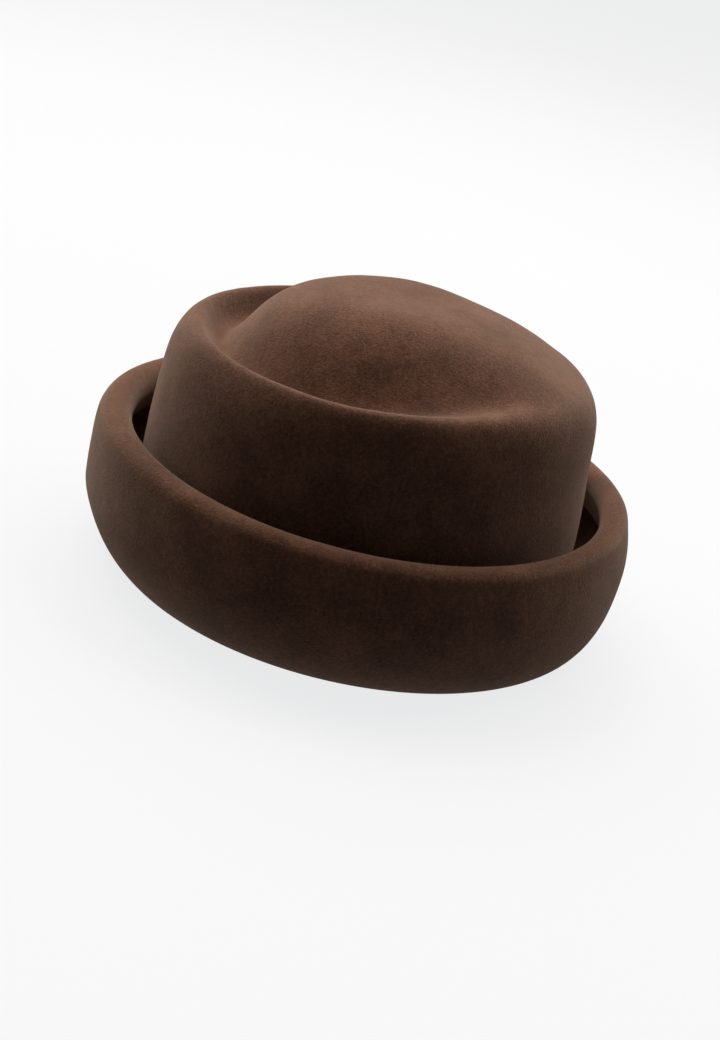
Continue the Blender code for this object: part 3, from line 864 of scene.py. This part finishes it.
def ribbon_loop(line, width, thickness):
    """Points of a ribbon along a level line, upright, with its long edges rounded.
    Width has a value for each point. Points of the section by points of the line by 3."""
    along = np.gradient(line, axis=0)
    along /= np.linalg.norm(along, axis=1, keepdims=True)
    side = np.stack([-along[:, 1], along[:, 0], np.zeros(len(line))], axis=1)
    radius = thickness / 2
    turn = np.linspace(0, math.pi, 5)[1:-1]
    across = np.concatenate([np.full(9, radius), radius * np.cos(turn),
                             np.full(9, -radius), -radius * np.cos(turn)])
    share = np.linspace(-1, 1, 9)
    rise = np.concatenate([share, 1 + 0 * turn, share[::-1], -1 + 0 * turn])
    beyond = np.concatenate([0 * share, radius * np.sin(turn), 0 * share, -radius * np.sin(turn)])
    up = np.array([0.0, 0.0, 1.0])
    height = rise[:, None] * width / 2 + beyond[:, None]
    return line + across[:, None, None] * side + height[..., None] * up


def make_bow(material):
    """Small flat bow of narrow ribbon where the band's ends meet: two loops and a knot."""
    low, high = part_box("sweatband_bow")
    middle = (low + high) / 2
    reach, depth = (high.x - low.x) / 2, (high.y - low.y) / 2 - RIBBON / 2
    curve = HALF_LENGTH / HALF_WIDTH ** 2 / 2
    turn = np.linspace(-math.pi, math.pi, 65)
    waist = 0.0014
    x = (1 + np.cos(turn)) / 2 * (reach - RIBBON / 2 - waist) + waist
    y = depth * np.sin(turn) * (0.55 + 0.45 * np.cos(turn / 2) ** 0.5)
    pinch = smooth_step(x / reach * 1.7)
    y = y * (0.25 + 0.75 * pinch)
    width = (high.z - low.z) * (0.62 + 0.38 * pinch) - 2 * RIBBON * (1 - pinch)
    for name, side in (("bow_loop_left", 1), ("bow_loop_right", -1)):
        line = np.stack([middle.x + side * x, middle.y + BOW_CLOSER + y - curve * x ** 2,
                         np.full(len(x), middle.z)], axis=1)
        run = np.concatenate([[0], np.cumsum(np.linalg.norm(np.diff(line, axis=0), axis=1))])
        crimp = 0.00012 * np.sin(TURN * np.linspace(0, 1, 24) * 3)
        sections = ribbon_loop(line, width, RIBBON)
        sections[..., 1] += crimp[:, None] * (1 - pinch)
        add_strip(name, sections, run, material,
                  ["sweatband_bow"] if side == 1 else ())
    make_knot(middle, material)


def make_knot(middle, material):
    """Sleeve of ribbon wrapped tightly round the bow's waist."""
    low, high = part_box("bow_knot")
    rows, columns = 13, 72
    turn = ring_angles(columns)
    across = np.linspace(-1, 1, rows)
    power = 0.45
    tall, deep = (high.z - low.z) / 2, (high.y - low.y) / 2
    half = (high.x - low.x) / 2
    skins = []
    for inset in (0.0, RIBBON):
        pinch = 1 - 0.10 * (1 - across ** 2)
        y = (deep - inset) * np.sign(np.cos(turn)) * np.abs(np.cos(turn)) ** power
        z = (tall - inset) * np.sign(np.sin(turn)) * np.abs(np.sin(turn)) ** power
        skins.append(np.stack(np.broadcast_arrays(middle.x + half * across[:, None],
                                                  middle.y + BOW_CLOSER + pinch[:, None] * y,
                                                  middle.z + pinch[:, None] * z), axis=-1))
    sections = np.concatenate([skins[0], skins[1][::-1]])
    run = (tall + deep) * 2 / columns * np.arange(columns)
    add_strip("bow_wrapped_knot", sections, run, material, ["bow_knot"],
              closed=True)


def wire_line(angles):
    """Middle of the edge wire, up under the top of the rolled edge."""
    rim = by_direction(angles, *RIM_HEIGHT)
    centre = BRIM_REACH - by_direction(angles, *RIM_LEAN) - by_direction(angles, *ROLL_RADIUS)
    return oval(angles, centre, rim - FELT - GAP - JOINER_RADIUS)


def sweep_round(line, radii, corners):
    """Loops of points round a line, one loop for each radius of each of its points."""
    along = np.gradient(line, axis=0)
    along /= np.linalg.norm(along, axis=1, keepdims=True)
    across = np.cross(along, [0.0, 0.0, 1.0])
    across /= np.linalg.norm(across, axis=1, keepdims=True)
    up = np.cross(across, along)
    turn = np.arange(corners) * TURN / corners
    round_it = (across[:, None] * np.cos(turn)[:, None] + up[:, None] * np.sin(turn)[:, None])
    return line[:, None] + round_it * radii[:, None, None]


def make_wire(material):
    line = wire_line(np.linspace(WIRE_START, TURN - WIRE_START, 420))
    corners, points = 12, 12 * len(line)
    loops = sweep_round(line, np.full(len(line), WIRE_RADIUS), corners)
    faces = ring_faces(len(loops), corners)
    faces += [tuple(range(corners - 1, -1, -1)), tuple(range(points - corners, points))]
    add_piece("rim_wire", loops, faces, material, ["brim_edge_wire"])


def make_joiner(material):
    """Brass sleeve over the wire's two ends, crimped in four places."""
    share = np.linspace(-1, 1, 81)
    line = wire_line(share * JOINER_HALF)
    crimp = sum(np.exp(-((share - place) / 0.07) ** 2) for place in (-0.66, -0.3, 0.3, 0.66))
    edge = 1 - 0.18 * smooth_step((np.abs(share) - 0.95) / 0.05)
    outer = sweep_round(line, (JOINER_RADIUS - 0.00035 * crimp) * edge, 24)
    inner = sweep_round(line, np.full(len(line), WIRE_RADIUS + 0.00015), 24)
    sections = np.concatenate([outer, inner[::-1]])
    add_piece("brass_joiner", sections, section_faces(sections), material,
              ["wire_joiner"])


# ---- stage ----

def add_stage(name, points, faces, material):
    """Floor or backdrop, which shows but throws no light back on the hat."""
    mesh = bpy.data.meshes.new(name)
    mesh.from_pydata([tuple(point) for point in points], [], faces)
    mesh.materials.append(material)
    mesh.shade_smooth()
    stage = bpy.data.objects.new(name, mesh)
    bpy.context.scene.collection.objects.link(stage)
    stage.visible_diffuse = stage.visible_glossy = False
    return stage


def make_floor():
    just_below = -0.0002
    corners = [(x * STAGE_RADIUS, y * STAGE_RADIUS, just_below)
               for x, y in ((-1, -1), (1, -1), (1, 1), (-1, 1))]
    add_stage("floor", corners, [(0, 1, 2, 3)], floor_material())


def make_backdrop():
    """Pale dome all round, far off, that neither lights the hat nor shades it."""
    angles = ring_angles(64)
    wall = [(STAGE_RADIUS * 0.98 * math.cos(rise), STAGE_RADIUS * 0.98 * math.sin(rise))
            for rise in np.linspace(-0.02, math.pi / 2 - 0.001, 24)]
    points = [(reach * math.cos(angle), reach * math.sin(angle), height)
              for reach, height in wall for angle in angles]
    backdrop = add_stage("backdrop", points, ring_faces(len(wall), 64), backdrop_material())
    backdrop.visible_shadow = False


def make_world():
    """Soft light from beyond the hat and from the pale floor, with a weak cool fill."""
    world = bpy.data.worlds.new("studio")
    bpy.context.scene.world = world
    world.use_nodes = True
    tree = world.node_tree
    direction = tree.nodes.new("ShaderNodeTexCoord").outputs["Generated"]
    light = (0.0, 0.0, 0.0)
    for towards, strength, tint in SKY_LIGHTS:
        dot = add_node(tree, "ShaderNodeVectorMath",
                       {0: direction, 1: tuple(Vector(towards).normalized())},
                       operation="DOT_PRODUCT")
        lobe = calculate(tree, "POWER", calculate(tree, "MAXIMUM", dot.outputs["Value"], 0.0),
                         SKY_FALL_OFF)
        lobe = calculate(tree, "MULTIPLY", lobe, strength)
        shade = mix_colours(tree, lobe, (0.0, 0.0, 0.0), tint)
        light = mix_colours(tree, 1.0, light, shade, "ADD")
    tree.links.new(light, tree.nodes["Background"].inputs["Color"])


def make_lights():
    """Large square softboxes, high and beyond the hat, aimed at its middle."""
    middle = Vector((0.0, 0.0, HAT_HEIGHT / 2))
    for name, turn, power, tint in SOFTBOXES:
        flat = math.cos(SOFTBOX_RISE)
        towards = Vector((flat * math.cos(math.radians(turn)),
                          flat * math.sin(math.radians(turn)), math.sin(SOFTBOX_RISE)))
        light = bpy.data.lights.new(name, "AREA")
        light.size = SOFTBOX_SIZE
        light.energy = power
        light.color = tint
        lamp = bpy.data.objects.new(name, light)
        lamp.location = middle + SOFTBOX_DISTANCE * towards
        lamp.rotation_euler = (-towards).to_track_quat("-Z", "Y").to_euler()
        bpy.context.scene.collection.objects.link(lamp)


def rolled_axes(forward):
    """The camera's right and up when it looks forward, rolled by VIEW_ROLL."""
    level = forward.cross(Vector((0, 0, 1))).normalized()
    steep = level.cross(forward)
    return (level * math.cos(VIEW_ROLL) + steep * math.sin(VIEW_ROLL),
            steep * math.cos(VIEW_ROLL) - level * math.sin(VIEW_ROLL))


def make_camera():
    middle = Vector((0, 0, AIM_HEIGHT))
    flat = math.cos(VIEW_ELEVATION)
    place = middle + VIEW_DISTANCE * Vector((-math.cos(VIEW_AZIMUTH) * flat,
                                             -math.sin(VIEW_AZIMUTH) * flat,
                                             math.sin(VIEW_ELEVATION)))
    forward = (middle - place).normalized()
    for _ in range(2):
        right, up = rolled_axes(forward)
        forward = (middle - up * AIM_BELOW - right * AIM_LEFT - place).normalized()
    right, up = rolled_axes(forward)
    data = bpy.data.cameras.new("camera")
    data.lens = LENS_MM
    data.sensor_width = SENSOR_MM
    data.clip_start = 0.01
    camera = bpy.data.objects.new("camera", data)
    turned = Matrix((right, up, -forward)).transposed().to_4x4()
    camera.matrix_world = Matrix.Translation(place) @ turned
    bpy.context.scene.collection.objects.link(camera)
    bpy.context.scene.camera = camera


def make_trim():
    """Everything but the felt, with its materials."""
    brown, pale = (0.045, 0.024, 0.016), (0.62, 0.56, 0.46)
    make_stay_tape(cloth_material("cotton_tape", (0.34, 0.29, 0.22), (0.60, 0.54, 0.44),
                                  0.0006, 0.0006))
    make_sweatband(ribbon_material("brown_petersham", (0.026, 0.014, 0.010),
                                   (0.085, 0.050, 0.036), 0.00126))
    name, node, start, stop = LABELS[0]
    low, high = (corner.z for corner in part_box(node))
    make_labels(cloth_material("woven_maker_label", (0.42, 0.35, 0.26), pale, 0.0003, 0.00025,
                               (HALF_LENGTH * (stop - start) * 0.92, high - low)),
                cloth_material("woven_size_tab", (0.50, 0.46, 0.39), (0.76, 0.73, 0.66),
                               0.0003, 0.00025))
    make_bow(ribbon_material("bow_ribbon", (0.030, 0.016, 0.011), (0.110, 0.064, 0.046), 0.00075))
    make_side_lining(satin_material("side_satin", (1.0, 1.0, 0.12)))
    make_tip_lining(satin_material("tip_satin", (1.0, 0.12, 1.0)))
    thread = thread_material("brown_thread", brown, (0.16, 0.09, 0.06))
    make_stitching(thread, thread_material("cream_thread", (0.45, 0.38, 0.28), pale))
    seam_stitches(thread)
    make_wire(metal_material("steel_wire", (0.20, 0.19, 0.18), (0.42, 0.41, 0.39), 0.35))
    make_joiner(metal_material("brass", (0.38, 0.24, 0.09), (0.68, 0.48, 0.20), 0.28))


def main():
    make_crown(felt_material("crown_wool_felt"))
    make_brim(felt_material("brim_wool_felt"))
    make_trim()
    make_floor()
    make_backdrop()
    make_world()
    make_lights()
    make_camera()
    bpy.context.scene.view_settings.view_transform = "Standard"


main()
